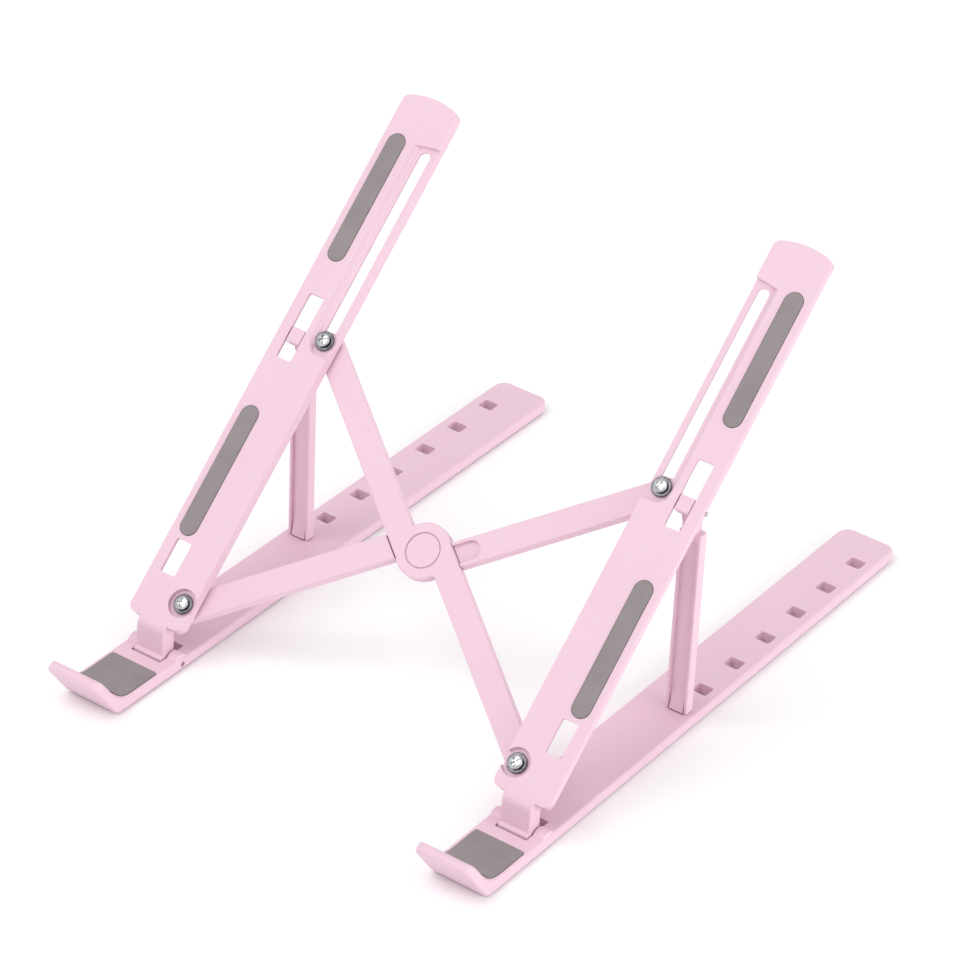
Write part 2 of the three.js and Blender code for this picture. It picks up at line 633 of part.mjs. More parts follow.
function arm(handed, lapLow, lapHigh, withPockets) {
  const pivotX = handed * ARM_FOLDED_OFFSET;
  const strip = prism(armPlan(handed, -ARM_WIDTH / 2), ARM_BOTTOM, ARM_TOP, UPRIGHT, EDGE_BEVEL);
  const clearHub = roundBar(HUB_RADIUS + 0.35, 0, 0, ARM_BOTTOM - RUN_PAST, ARM_TOP + RUN_PAST, 48);
  const fullDepth = strip.intersect(lapStep(handed)).subtract(clearHub);
  const lapBand = box(-60, 60, -HUB_RADIUS, 200, lapLow, lapHigh);
  const half = fullDepth.add(strip.intersect(lapBand));
  const pocket = prism(
    obround(pivotX, POCKET_HALF_WIDTH, 0, POCKET_REACH + 2),
    ARM_TOP - POCKET_DEPTH, ARM_TOP + RUN_PAST,
  );
  const upper = withPockets ? half.subtract(pocket) : half;
  const disc = roundBar(HUB_RADIUS, 0, 0, lapLow, lapHigh, 48);
  const boss = roundBar(BOSS_RADIUS, pivotX, FOLDED_HALF_REACH, ARM_TOP - RUN_PAST, -RECESS_DEPTH - GAP);
  const both = union([disc, upper, halfTurned(half), boss, halfTurned(boss)]);
  const screwHole = roundBar(SCREW_RADIUS + GAP, pivotX, FOLDED_HALF_REACH, ARM_BOTTOM - RUN_PAST, 0);
  return cut(both, [screwHole, halfTurned(screwHole)]);
}

function topArm() {
  const body = arm(-1, LAP_MIDDLE + GAP / 2, ARM_TOP, false);
  const capSeat = roundBar(HUB_CAP_RADIUS + GAP, 0, 0, ARM_TOP - HUB_CAP_THICKNESS - GAP, 0, 36);
  const sleeveHole = roundBar(HUB_SLEEVE_RADIUS + GAP, 0, 0, ARM_BOTTOM - RUN_PAST, 0, 32);
  return cut(body, [capSeat, sleeveHole]);
}

function bottomArm() {
  const body = arm(1, ARM_BOTTOM, LAP_MIDDLE - GAP / 2, true);
  const sleeveHole = roundBar(HUB_SLEEVE_RADIUS + GAP, 0, 0, ARM_BOTTOM - RUN_PAST, 0, 32);
  return cut(body, [sleeveHole]);
}

function hubCap() {
  const bore = SCREW_RADIUS + GAP;
  const profile = [
    [0, ARM_TOP],
    [HUB_CAP_RADIUS, ARM_TOP],
    [HUB_CAP_RADIUS, ARM_TOP - HUB_CAP_THICKNESS],
    [HUB_SLEEVE_RADIUS, ARM_TOP - HUB_CAP_THICKNESS],
    [HUB_SLEEVE_RADIUS, ARM_BOTTOM],
    [bore, ARM_BOTTOM],
    [bore, ARM_TOP - HUB_CAP_THICKNESS],
    [0, ARM_TOP - HUB_CAP_THICKNESS],
  ];
  return lathe(profile, 36);
}

function hubScrew() {
  const headTop = ARM_BOTTOM - GAP;
  const profile = [
    [0, headTop - HUB_SCREW_HEAD_HEIGHT],
    [HUB_SCREW_HEAD_RADIUS - 0.6, headTop - HUB_SCREW_HEAD_HEIGHT],
    [HUB_SCREW_HEAD_RADIUS, headTop - HUB_SCREW_HEAD_HEIGHT / 2],
    [HUB_SCREW_HEAD_RADIUS, headTop],
    [SCREW_RADIUS, headTop],
    [SCREW_RADIUS, ARM_TOP - HUB_CAP_THICKNESS - GAP],
    [0, ARM_TOP - HUB_CAP_THICKNESS - GAP],
  ];
  return lathe(profile, ROUND_STEPS);
}

// Turns a [radius, height] profile that starts and ends on the axis into a closed solid.
function lathe(profile, steps) {
  const low = profile[0][1] < profile[profile.length - 1][1];
  const ordered = low ? profile : [...profile].reverse();
  const geometry = new THREE.LatheGeometry(ordered.map(([r, z]) => new THREE.Vector2(r, z)), steps);
  geometry.rotateX(Math.PI / 2);
  return solid(geometry);
}

// ---------------------------------------------------------------- pivot hardware

// Screw, washer and nut of one arm pivot, about the pivot's own axis.
function pivotScrew() {
  const headLow = -RECESS_DEPTH + GAP + WASHER_THICKNESS + GAP;
  const tip = ARM_BOTTOM - GAP - NUT_THICKNESS - GAP;
  const body = lathe([
    [0, tip],
    [SCREW_RADIUS, tip],
    [SCREW_RADIUS, headLow],
    [SCREW_HEAD_RADIUS, headLow],
    [SCREW_HEAD_RADIUS, headLow + SCREW_HEAD_HEIGHT * 0.6],
    [SCREW_HEAD_RADIUS * 0.7, headLow + SCREW_HEAD_HEIGHT],
    [0, headLow + SCREW_HEAD_HEIGHT],
  ], ROUND_STEPS);
  const half = SCREW_RECESS_WIDTH / 2;
  const reach = SCREW_HEAD_RADIUS * 0.6;
  const [low, high] = [headLow + SCREW_HEAD_HEIGHT - 0.9, headLow + SCREW_HEAD_HEIGHT + RUN_PAST];
  return cut(body, [
    box(-reach, reach, -half, half, low, high),
    box(-half, half, -reach, reach, low, high),
  ]);
}

function pivotWasher() {
  const low = -RECESS_DEPTH + GAP;
  const ring = roundBar(WASHER_RADIUS, 0, 0, low, low + WASHER_THICKNESS, 36);
  return ring.subtract(roundBar(SCREW_RADIUS + GAP, 0, 0, low - RUN_PAST, low + WASHER_THICKNESS + RUN_PAST));
}

function pivotNut() {
  const high = ARM_BOTTOM - GAP;
  const hexagon = roundBar(NUT_FLATS / Math.sqrt(3), 0, 0, high - NUT_THICKNESS, high, 6);
  return hexagon.subtract(roundBar(SCREW_RADIUS + GAP, 0, 0, high - NUT_THICKNESS - RUN_PAST, high + RUN_PAST));
}

function pivotMeshes(side, name, place, along) {
  const pieces = {
    screw: [pivotScrew(), chrome],
    washer: [pivotWasher(), darkChrome],
    nut: [pivotNut(), chrome],
  };
  return Object.entries(pieces).map(([piece, [body, material]]) => {
    const mesh = namedMesh(`${name}_${place}_pivot_${piece}`, body, material);
    mesh.position.set(side * LOWER_PIVOT_X, along, 0);
    return mesh;
  });
}

// ---------------------------------------------------------------- assembly

const stand = new THREE.Group();
const inclined = new THREE.Group();
inclined.position.set(0, RAIL_ORIGIN_Y, RAIL_ORIGIN_Z);
inclined.rotation.x = RAIL_ANGLE;
stand.add(inclined);

for (const [name, side] of [['left', -1], ['right', 1]]) {
  stand.add(...baseMeshes(side, name), strutMesh(side, name));
  inclined.add(...railMeshes(side, name));
  inclined.add(...pivotMeshes(side, name, 'lower', 0));
  inclined.add(...pivotMeshes(side, name, 'upper', UPPER_PIVOT_ALONG));
}

const crossing = new THREE.Group();
crossing.position.set(0, UPPER_PIVOT_ALONG / 2, 0);
inclined.add(crossing);

const topArmMesh = namedMesh('top_cross_arm', topArm(), pinkPlastic);
topArmMesh.rotation.z = OPEN_ANGLE;
const bottomArmMesh = namedMesh('bottom_cross_arm', bottomArm(), pinkPlastic);
bottomArmMesh.rotation.z = -OPEN_ANGLE;
crossing.add(
  topArmMesh,
  bottomArmMesh,
  namedMesh('hub_cap', hubCap(), pinkPlastic),
  namedMesh('hub_screw', hubScrew(), chrome),
);

export default stand;
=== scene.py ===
"""Folding laptop stand: detailed pieces, materials, light and camera.

Lengths are in millimetres until a piece is finished; finished pieces are in metres, in the
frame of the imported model. "Rail frame" means x across the stand, y up along the rails' top
face from the lower arm pivots, and z out of that face. A side is -1 for left and 1 for right.
"""

import json
import math

import bmesh
import bpy
from mathutils import Matrix, Vector


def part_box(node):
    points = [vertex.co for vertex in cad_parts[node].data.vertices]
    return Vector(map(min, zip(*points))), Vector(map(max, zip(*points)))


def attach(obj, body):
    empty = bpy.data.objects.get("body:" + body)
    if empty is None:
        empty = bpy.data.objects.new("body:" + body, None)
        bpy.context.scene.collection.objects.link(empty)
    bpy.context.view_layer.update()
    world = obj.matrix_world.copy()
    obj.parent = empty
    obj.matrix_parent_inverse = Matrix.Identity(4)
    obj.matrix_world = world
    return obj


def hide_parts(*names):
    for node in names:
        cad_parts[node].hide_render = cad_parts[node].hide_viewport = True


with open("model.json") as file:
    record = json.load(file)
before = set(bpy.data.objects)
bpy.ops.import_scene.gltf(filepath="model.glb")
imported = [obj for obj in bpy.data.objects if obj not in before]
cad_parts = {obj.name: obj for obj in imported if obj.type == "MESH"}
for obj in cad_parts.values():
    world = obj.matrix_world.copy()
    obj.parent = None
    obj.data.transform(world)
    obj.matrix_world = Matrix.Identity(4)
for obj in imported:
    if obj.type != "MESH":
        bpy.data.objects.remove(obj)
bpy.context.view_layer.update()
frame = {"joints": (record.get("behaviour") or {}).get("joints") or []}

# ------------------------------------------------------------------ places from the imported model

MM = 1000.0
JOINTS = {joint["name"]: joint for joint in frame["joints"]}
SIDES = {"left": -1, "right": 1}


def joint_place(name):
    return Vector(JOINTS[name]["pos_m"]) * MM


BAR_LOW, BAR_HIGH = (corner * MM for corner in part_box("right_base_bar"))
BAR_X = (BAR_LOW.x + BAR_HIGH.x) / 2
HALF_BAR = (BAR_HIGH.x - BAR_LOW.x) / 2
BASE_BOTTOM = BAR_LOW.z
BASE_REAR = BAR_HIGH.y
BASE_TOP = 4.6

HINGE = joint_place("rail_tilt")
STRUT_PIN = joint_place("right_strut_swing")
PIVOT = joint_place("right_arm_pivot")
NORMAL = Vector(JOINTS["scissor_fold"]["axis"])
TILT = math.atan2(-NORMAL.y, NORMAL.z)

# Heights of the arms in the rail frame. The scissor's joints lie on the arms' top face.
ARM_TOP = -5.1
ARM_BOTTOM = -9.5

RAIL_ZERO = joint_place("scissor_fold") - NORMAL * ARM_TOP
RAIL = Matrix.Translation((0, RAIL_ZERO.y, RAIL_ZERO.z)) @ Matrix.Rotation(TILT, 4, "X")
HUB = RAIL.inverted() @ joint_place("hub_pivot")
UPPER_PIVOT = 2 * HUB.y

# Lines along a side, measured outwards from the bar's middle.
PIVOT_LINE = -6.8
STRUT_LINE = 4.5
WINDOW_LINE = 3.9
PAD_LINE = 5.1
FOOT_LINE = -4.8

# ------------------------------------------------------------------ outlines


def arc(x, y, radius, start, end, steps=10):
    turn = [math.radians(start + (end - start) * i / steps) for i in range(steps + 1)]
    return [(x + radius * math.cos(t), y + radius * math.sin(t)) for t in turn]


def rounded(x0, x1, y0, y1, radius, steps=8):
    if x0 > x1:
        x0, x1 = x1, x0
    r = radius
    return (
        arc(x1 - r, y0 + r, r, -90, 0, steps)
        + arc(x1 - r, y1 - r, r, 0, 90, steps)
        + arc(x0 + r, y1 - r, r, 90, 180, steps)
        + arc(x0 + r, y0 + r, r, 180, 270, steps)
    )


def obround(x, radius, y0, y1, steps=18):
    return arc(x, y1 - radius, radius, 0, 180, steps) + arc(x, y0 + radius, radius, 180, 360, steps)


def mirrored(points, side):
    """The outline for a side, still running counter-clockwise."""
    if side > 0:
        return points
    return [(-x, y) for x, y in reversed(points)]


# ------------------------------------------------------------------ solids

# Turns for an outline: pushed upwards, or given as (y, z) and pushed along x.
UP = Matrix.Identity(4)
ALONG_X = Matrix(((0, 0, 1, 0), (1, 0, 0, 0), (0, 1, 0, 0), (0, 0, 0, 1)))

# Corners nearer to each other than this become one: in a new solid, after a cut, at the end.
NEW_WELD = 1e-5
CUT_WELD = 1e-3
LAST_WELD = 0.004

FLAT_ANGLE = math.radians(0.3)
SHARP_ANGLE = math.radians(50)


def new_object(name, bm):
    bmesh.ops.remove_doubles(bm, verts=bm.verts[:], dist=NEW_WELD)
    bmesh.ops.recalc_face_normals(bm, faces=bm.faces[:])
    mesh = bpy.data.meshes.new(name)
    bm.to_mesh(mesh)
    bm.free()
    obj = bpy.data.objects.new(name, mesh)
    bpy.context.collection.objects.link(obj)
    return obj


def prism(points, low, high, turn=UP, top=None):
    """A closed solid: an outline pushed from one level to another, or into another outline."""
    bm = bmesh.new()
    levels = ((points, low), (top or points, high))
    rings = [[bm.verts.new(turn @ Vector((a, b, z))) for a, b in level] for level, z in levels]
    bm.faces.new(rings[0][::-1])
    bm.faces.new(rings[1])
    count = len(points)
    for i in range(count):
        j = (i + 1) % count
        bm.faces.new((rings[0][i], rings[0][j], rings[1][j], rings[1][i]))
    return new_object("solid", bm)


def block(x0, x1, y0, y1, z0, z1):
    return prism([(x0, y0), (x1, y0), (x1, y1), (x0, y1)], z0, z1)


def turned(profile, steps=64, turn=UP):
    """A solid of revolution from (radius, height) points that begin and end on the axis."""
    bm = bmesh.new()
    rings = []
    for radius, height in profile:
        if radius < 1e-6:
            rings.append([bm.verts.new(turn @ Vector((0, 0, height)))])
            continue
        spin = [2 * math.pi * i / steps for i in range(steps)]
        rings.append([
            bm.verts.new(turn @ Vector((radius * math.cos(t), radius * math.sin(t), height)))
            for t in spin
        ])
    for low, high in zip(rings, rings[1:]):
        for i in range(steps):
            j = (i + 1) % steps
            if len(low) == 1:
                bm.faces.new((low[0], high[j], high[i]))
            elif len(high) == 1:
                bm.faces.new((low[i], low[j], high[0]))
            else:
                bm.faces.new((low[i], low[j], high[j], high[i]))
    return new_object("turned", bm)


def lofted(sections, steps=6):
    """A solid through soft-edged rectangles that lie across x.

    Each section is (low point, high point, x centre, half width, edge radius), with the points
    as (y, z).
    """
    bm = bmesh.new()
    rings = []
    for low, high, x, half_width, radius in sections:
        low, high = Vector(low), Vector(high)
        centre, rise = (low + high) / 2, (high - low) / 2
        half = rise.length
        ring = []
        for a, b in rounded(-half_width, half_width, -half, half, radius, steps):
            place = centre + rise * (b / half)
            ring.append(bm.verts.new((x + a, place.x, place.y)))
        rings.append(ring)
    bm.faces.new(rings[0])
    bm.faces.new(rings[-1][::-1])
    for one, other in zip(rings, rings[1:]):
        for i in range(len(one)):
            j = (i + 1) % len(one)
            bm.faces.new((one[i], one[j], other[j], other[i]))
    return new_object("lofted", bm)


def rod(radius, start, end, turn=UP, steps=32):
    """A plain round bar."""
    return turned([(0, start), (radius, start), (radius, end), (0, end)], steps, turn)


def at(x, y, z=0.0):
    """A shift to a place."""
    return Matrix.Translation((x, y, z))


def bake(obj):
    """Applies an object's modifiers to its mesh."""
    depsgraph = bpy.context.evaluated_depsgraph_get()
    mesh = bpy.data.meshes.new_from_object(obj.evaluated_get(depsgraph))
    obj.modifiers.clear()
    old = obj.data
    obj.data = mesh
    bpy.data.meshes.remove(old)


def drop(obj):
    mesh = obj.data
    bpy.data.objects.remove(obj)
    bpy.data.meshes.remove(mesh)


def combine(body, others, operation):
    """Applies booleans in turn, removes the other solids, and merges what lies flat."""
    for other in others:
        step = body.modifiers.new("step", "BOOLEAN")
        step.operation = operation
        step.solver = "EXACT"
        step.object = other
    bake(body)
    for other in others:
        drop(other)
    bm = bmesh.new()
    bm.from_mesh(body.data)
    bmesh.ops.remove_doubles(bm, verts=bm.verts[:], dist=CUT_WELD)
    bmesh.ops.dissolve_limit(bm, angle_limit=FLAT_ANGLE, verts=bm.verts[:], edges=bm.edges[:])
    bm.to_mesh(body.data)
    bm.free()
    return body


def cut(body, *others):
    return combine(body, others, "DIFFERENCE")


def add(body, *others):
    return combine(body, others, "UNION")


def keep(body, *others):
    return combine(body, others, "INTERSECT")


def soften(body, width, segments=3, angle=50):
    """Rounds every edge sharper than the angle."""
    step = body.modifiers.new("edges", "BEVEL")
    step.width = width
    step.segments = segments
    step.limit_method = "ANGLE"
    step.angle_limit = math.radians(angle)
    step.miter_outer = "MITER_ARC"
    step.use_clamp_overlap = True
    bake(body)
    return body


def finished(body, name, node, material, body_name, place=UP):
    """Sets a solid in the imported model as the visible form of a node.

    Slivers are removed and the mesh is closed first, so that wide faces are shaded flat and
    the rounded edges run into them smoothly.
    """
    body.name = name
    body.data.name = name
    body.data.transform(place)
    body.data.materials.clear()
    body.data.materials.append(material)
    bm = bmesh.new()
    bm.from_mesh(body.data)
    bmesh.ops.remove_doubles(bm, verts=bm.verts[:], dist=LAST_WELD)
    bmesh.ops.dissolve_degenerate(bm, dist=LAST_WELD, edges=bm.edges[:])
    bmesh.ops.holes_fill(bm, edges=[edge for edge in bm.edges if edge.is_boundary], sides=0)
    for face in bm.faces:
        face.smooth = True
    for edge in bm.edges:
        edge.smooth = edge.calc_face_angle(0) < SHARP_ANGLE
    bm.to_mesh(body.data)
    bm.free()
    step = body.modifiers.new("normals", "WEIGHTED_NORMAL")
    step.mode = "FACE_AREA"
    step.weight = 80
    step.thresh = 0.01
    step.keep_sharp = True
    bake(body)
    body.data.transform(Matrix.Scale(1 / MM, 4))
    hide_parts(node)
    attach(body, body_name)
    return body


# ------------------------------------------------------------------ materials


def node_material(name):
    """A new material, with its node tree and its main shader."""
    material = bpy.data.materials.new(name)
    material.use_nodes = True
    tree = material.node_tree
    shader = tree.nodes["Principled BSDF"]
    return material, tree, shader


def add_node(tree, kind, **settings):
    """Adds a node. A setting is an input where the node has one of that name."""
    node = tree.nodes.new(kind)
    for key, value in settings.items():
        if key in node.inputs:
            node.inputs[key].default_value = value
        else:
            setattr(node, key, value)
    return node


def object_noise(tree, scale, detail=3.0, stretch=None):
    """Noise fixed to the piece, with its scale per metre."""
    place = add_node(tree, "ShaderNodeTexCoord")
    noise = add_node(tree, "ShaderNodeTexNoise", Scale=scale, Detail=detail)
    source = place.outputs["Object"]
    if stretch:
        mapping = add_node(tree, "ShaderNodeMapping")
        mapping.inputs["Scale"].default_value = stretch
        tree.links.new(source, mapping.inputs["Vector"])
        source = mapping.outputs["Vector"]
    tree.links.new(source, noise.inputs["Vector"])
    return noise


def ramp(tree, source, stops):
    """A colour ramp through (position, colour) stops."""
    node = add_node(tree, "ShaderNodeValToRGB")
    elements = node.color_ramp.elements
    while len(elements) < len(stops):
        elements.new(0.5)
    for element, (position, colour) in zip(elements, stops):
        element.position = position
        element.color = (*colour, 1.0)
    tree.links.new(source, node.inputs["Fac"])
    return node


def remap(tree, source, low, high):
    """Spreads a 0 to 1 value over another range."""
    node = add_node(tree, "ShaderNodeMapRange")
    node.inputs["To Min"].default_value = low
    node.inputs["To Max"].default_value = high
    tree.links.new(source, node.inputs["Value"])
    return node


def bump_chain(tree, shader, layers):
    """Adds bump layers of (height socket, strength, distance in metres), coarse one first."""
    previous = None
    for height, strength, distance in layers:
        bump = add_node(tree, "ShaderNodeBump", Strength=strength, Distance=distance)
        tree.links.new(height, bump.inputs["Height"])
        if previous:
            tree.links.new(previous.outputs["Normal"], bump.inputs["Normal"])
        previous = bump
    tree.links.new(previous.outputs["Normal"], shader.inputs["Normal"])


def pink_plastic():
    """Satin plastic: faintly uneven colour, pale scuffs, and a moulded surface with fine grain."""
    material, tree, shader = node_material("pink_plastic")
    mottle = object_noise(tree, 38.0, 4.0)
    base = ramp(tree, mottle.outputs["Fac"], [
        (0.30, (0.748, 0.520, 0.621)),
        (0.52, (0.756, 0.530, 0.630)),
        (0.72, (0.765, 0.540, 0.639)),
    ])
    scuff = object_noise(tree, 420.0, 5.0)
    wear = ramp(tree, scuff.outputs["Fac"], [
        (0.60, (0.0, 0.0, 0.0)),
        (0.80, (0.35, 0.35, 0.35)),
    ])
    mix = add_node(tree, "ShaderNodeMix", data_type="RGBA")
    mix.inputs["B"].default_value = (0.82, 0.62, 0.70, 1.0)
    tree.links.new(wear.outputs["Color"], mix.inputs["Factor"])
    tree.links.new(base.outputs["Color"], mix.inputs["A"])
    tree.links.new(mix.outputs["Result"], shader.inputs["Base Color"])
    grain = object_noise(tree, 2600.0, 2.0)
    flow = object_noise(tree, 22.0, 2.0)
    rough = remap(tree, scuff.outputs["Fac"], 0.40, 0.54)
    tree.links.new(rough.outputs["Result"], shader.inputs["Roughness"])
    shader.inputs["Specular IOR Level"].default_value = 0.42
    shader.inputs["Subsurface Weight"].default_value = 0.12
    shader.inputs["Subsurface Radius"].default_value = (1.0, 0.45, 0.5)
    shader.inputs["Subsurface Scale"].default_value = 0.0012
    bump_chain(tree, shader, [
        (flow.outputs["Fac"], 0.12, 0.0004),
        (grain.outputs["Fac"], 0.10, 0.00006),
    ])
    return material


def grey_silicone():
    """Matt silicone with a fine grain and a few specks of dust."""
    material, tree, shader = node_material("grey_silicone")
    cloud = object_noise(tree, 90.0, 4.0)
    base = ramp(tree, cloud.outputs["Fac"], [
        (0.30, (0.240, 0.208, 0.211)),
        (0.70, (0.272, 0.238, 0.241)),
    ])
    dust = object_noise(tree, 1900.0, 1.0)
    speck = ramp(tree, dust.outputs["Fac"], [
        (0.70, (0.0, 0.0, 0.0)),
        (0.78, (0.30, 0.30, 0.30)),
    ])
    mix = add_node(tree, "ShaderNodeMix", data_type="RGBA")
    mix.inputs["B"].default_value = (0.55, 0.50, 0.51, 1.0)
    tree.links.new(speck.outputs["Color"], mix.inputs["Factor"])
    tree.links.new(base.outputs["Color"], mix.inputs["A"])
    tree.links.new(mix.outputs["Result"], shader.inputs["Base Color"])
    grain = object_noise(tree, 3200.0, 2.0)
    rough = remap(tree, cloud.outputs["Fac"], 0.60, 0.74)
    tree.links.new(rough.outputs["Result"], shader.inputs["Roughness"])
    shader.inputs["Sheen Weight"].default_value = 0.08
    shader.inputs["Specular IOR Level"].default_value = 0.35
    bump_chain(tree, shader, [(grain.outputs["Fac"], 0.35, 0.00005)])
    return material


def metal(name, dark, light, rough_low, rough_high, scale):
    """Plated metal with cloudy tone and fine scratches."""
    material, tree, shader = node_material(name)
    cloud = object_noise(tree, scale, 4.0)
    base = ramp(tree, cloud.outputs["Fac"], [(0.35, dark), (0.68, light)])
    tree.links.new(base.outputs["Color"], shader.inputs["Base Color"])
    shader.inputs["Metallic"].default_value = 1.0
    scratch = object_noise(tree, 1500.0, 3.0, stretch=(1.0, 1.0, 8.0))
    rough = remap(tree, scratch.outputs["Fac"], rough_low, rough_high)
    tree.links.new(rough.outputs["Result"], shader.inputs["Roughness"])
    bump_chain(tree, shader, [(scratch.outputs["Fac"], 0.12, 0.00003)])
    return material


PINK = pink_plastic()
SILICONE = grey_silicone()
CHROME = metal("chrome", (0.46, 0.47, 0.48), (0.68, 0.70, 0.71), 0.14, 0.28, 600.0)
DARK_CHROME = metal("dark_chrome", (0.10, 0.096, 0.104), (0.20, 0.19, 0.205), 0.22, 0.38, 700.0)

# ------------------------------------------------------------------ base bars

# The centres, as (y, z), of the curls that the hook's top and under faces follow.
CURL_TOP = Vector((-113.0, BASE_TOP + 14.0))
CURL_UNDER = Vector((-119.9, BASE_BOTTOM + 4.0))
HOOK_SLOPE = 53
HOOK_STRAIGHT = 8.7
HOOK_CORNER = 3.5

BAR_EDGE = 1.15
REAR_CORNER = 5.0
# How far the sections that shape the bar's rear end and the hook's lip lie from those ends.
REAR_SECTIONS = (0.0, 0.1, 0.25, 0.45, 0.7, 1.15, 1.7, 2.4, 3.2, 4.2, 5.0)
LIP_SECTIONS = (5.0, 4.2, 3.5, 2.9, 2.4, 2.0, 1.6, 1.25, 0.95, 0.7, 0.48, 0.3, 0.16, 0.07, 0.02)

# The strut's own seat, then the regular row of holes behind it.
HOLE_YS = [-0.85] + [13.65 + 20.1 * step for step in range(6)]
HOLE_HALF_WIDTH = 3.0
HOLE_REACH = 2.7
SEAT_FRONT_REACH = 2.4

# Half width, front and rear.
HINGE_SLOT = (6.3, -93.95, -81.0)
HOOK_PAD = (9.6, -119.6, -99.6)

EAR_RADIUS = 3.6
EAR_ROOT = 1.5
EAR_INSET = 0.5
HINGE_BORE_RADIUS = 1.05
HINGE_BORE_END = 1.5
HINGE_PIN_RADIUS = 1.0

FOOT_HALF_WIDTH = 3.2
FOOT_SPANS = {"front": (-75.0, -45.0), "rear": (97.0, 127.0)}

# Pads: how deep they and their pockets go into the plastic, and how proud they stand.
PAD_SUNK = 0.6
PAD_PROUD = 0.4
POCKET_DEPTH = 0.9


def along_path(points, share):
    """The place a share of the way along a path."""
    lengths = [(b - a).length for a, b in zip(points, points[1:])]
    rest = share * sum(lengths)
    for a, b, length in zip(points, points[1:], lengths):
        if rest <= length:
            return a.lerp(b, rest / length)
        rest -= length
    return points[-1]


def rounding(distance, radius):
    """How far a corner's rounding draws an edge in, at a distance from the end."""
    if distance >= radius:
        return 0.0
    return radius - math.sqrt(radius ** 2 - (radius - distance) ** 2)


def bar_blank(x):
    """The bar and its hook as one soft-edged strip, without ears, pockets and holes."""
    slope = math.radians(HOOK_SLOPE)
    along = Vector((-math.cos(slope), math.sin(slope)))
    inward = Vector((math.sin(slope), math.cos(slope)))
    curl_end = CURL_TOP - inward * (CURL_TOP.y - BASE_TOP)
    under_start = CURL_UNDER - inward * (CURL_UNDER.y - BASE_BOTTOM)
    thickness = (curl_end - under_start).dot(inward)
    sections = []
    for distance in REAR_SECTIONS:
        y = BASE_REAR - distance
        inset = rounding(distance, BAR_EDGE)
        end_inset = 0.3 if distance == 0 else 0
        half = HALF_BAR - rounding(distance, REAR_CORNER) - end_inset
        radius = max(BAR_EDGE - inset, 0.05)
        sections.append(((y, BASE_BOTTOM + inset), (y, BASE_TOP - inset), x, half, radius))
    end = 270 - HOOK_SLOPE
    top_path = [Vector(p) for p in arc(*CURL_TOP, CURL_TOP.y - BASE_TOP, 270, end, 24)]
    under_curl = arc(*CURL_UNDER, CURL_UNDER.y - BASE_BOTTOM, 270, end, 12)
    under_path = [Vector((CURL_TOP.x, BASE_BOTTOM))]
    under_path += [Vector(p) for p in under_curl]
    under_path.append(curl_end - inward * thickness)
    for step in range(25):
        low = along_path(under_path, step / 24)
        high = along_path(top_path, step / 24)
        sections.append((low, high, x, HALF_BAR, BAR_EDGE))
    reach = HOOK_STRAIGHT + thickness / 2
    for distance in LIP_SECTIONS:
        inset = rounding(distance, thickness / 2)
        middle = curl_end + along * (reach - distance) - inward * thickness / 2
        rise = inward * (thickness / 2 - inset)
        half = HALF_BAR - rounding(distance, HOOK_CORNER)
        radius = min(BAR_EDGE, rise.length * 0.97)
        sections.append((middle - rise, middle + rise, x, half, radius))
    return lofted(sections)


def top_band(low, high):
    """The band between two heights above the bar's top face, up the curl, as (y, z)."""
    radius = CURL_TOP.y - BASE_TOP
    end = 270 - HOOK_SLOPE
    points = [(0, BASE_TOP + high)] + arc(*CURL_TOP, radius - high, 270, end, 16)
    return points + arc(*CURL_TOP, radius - low, end, 270, 16) + [(0, BASE_TOP + low)]


def hook_pad(x, low, high, margin):
    """The hook's pad, or its pocket where there is a margin, between two heights."""
    half, y0, y1 = HOOK_PAD
    half += margin
    plan = rounded(x - half, x + half, y0 - margin, y1 + margin, 1.0 + margin)
    band = prism(top_band(low, high), x - HALF_BAR, x + HALF_BAR, ALONG_X)
    return keep(prism(plan, 0, 30), band)


def foot_outline(side, y0, y1, margin):
    x = side * (BAR_X + FOOT_LINE)
    half = FOOT_HALF_WIDTH + margin
    return rounded(x - half, x + half, y0 - margin, y1 + margin, 2.0)


def base_bar(side):
    """The bar with its hinge ears, hinge slot, blind hinge bore, pockets and strut holes."""
    x = side * BAR_X
    body = bar_blank(x)
    slot_half, slot_front, slot_rear = HINGE_SLOT
    ear = [(HINGE.y - EAR_RADIUS, EAR_ROOT), (HINGE.y + EAR_RADIUS, EAR_ROOT)]
    ear += arc(HINGE.y, HINGE.z, EAR_RADIUS, 0, 180, 16)
    ears = []
    for sign in (-1, 1):
        solid = prism(ear, x + sign * slot_half, x + sign * (HALF_BAR - EAR_INSET), ALONG_X)
        ears.append(soften(solid, 0.5, 3, 60))
    body = add(body, *ears)
    cutters = [block(x - slot_half, x + slot_half, slot_front, slot_rear, -2, 12)]
    ends = sorted((x - side * 20, x + side * (HALF_BAR - HINGE_BORE_END)))
    cutters.append(rod(HINGE_BORE_RADIUS, *ends, at(0, HINGE.y, HINGE.z) @ ALONG_X))
    cutters.append(hook_pad(x, -POCKET_DEPTH, 5, 0.25))
    for y0, y1 in FOOT_SPANS.values():
        cutters.append(prism(foot_outline(side, y0, y1, 0.3), -2, BASE_BOTTOM + POCKET_DEPTH))
    hole_x = side * (BAR_X + STRUT_LINE)
    low_x, high_x = hole_x - HOLE_HALF_WIDTH, hole_x + HOLE_HALF_WIDTH
    for y in HOLE_YS:
        front = y - (HOLE_REACH if y > 0 else SEAT_FRONT_REACH)
        cutters.append(prism(rounded(low_x, high_x, front, y + HOLE_REACH, 0.8, 5), -2, 8))
    body = cut(body, *cutters)
    return soften(body, 0.3, 2, 60)


# ------------------------------------------------------------------ rails

RAIL_START = -9.6
RAIL_END = 194.5
RAIL_CROWN = 1.3
RAIL_CORNER = 3.0
RAIL_THICKNESS = 4.5

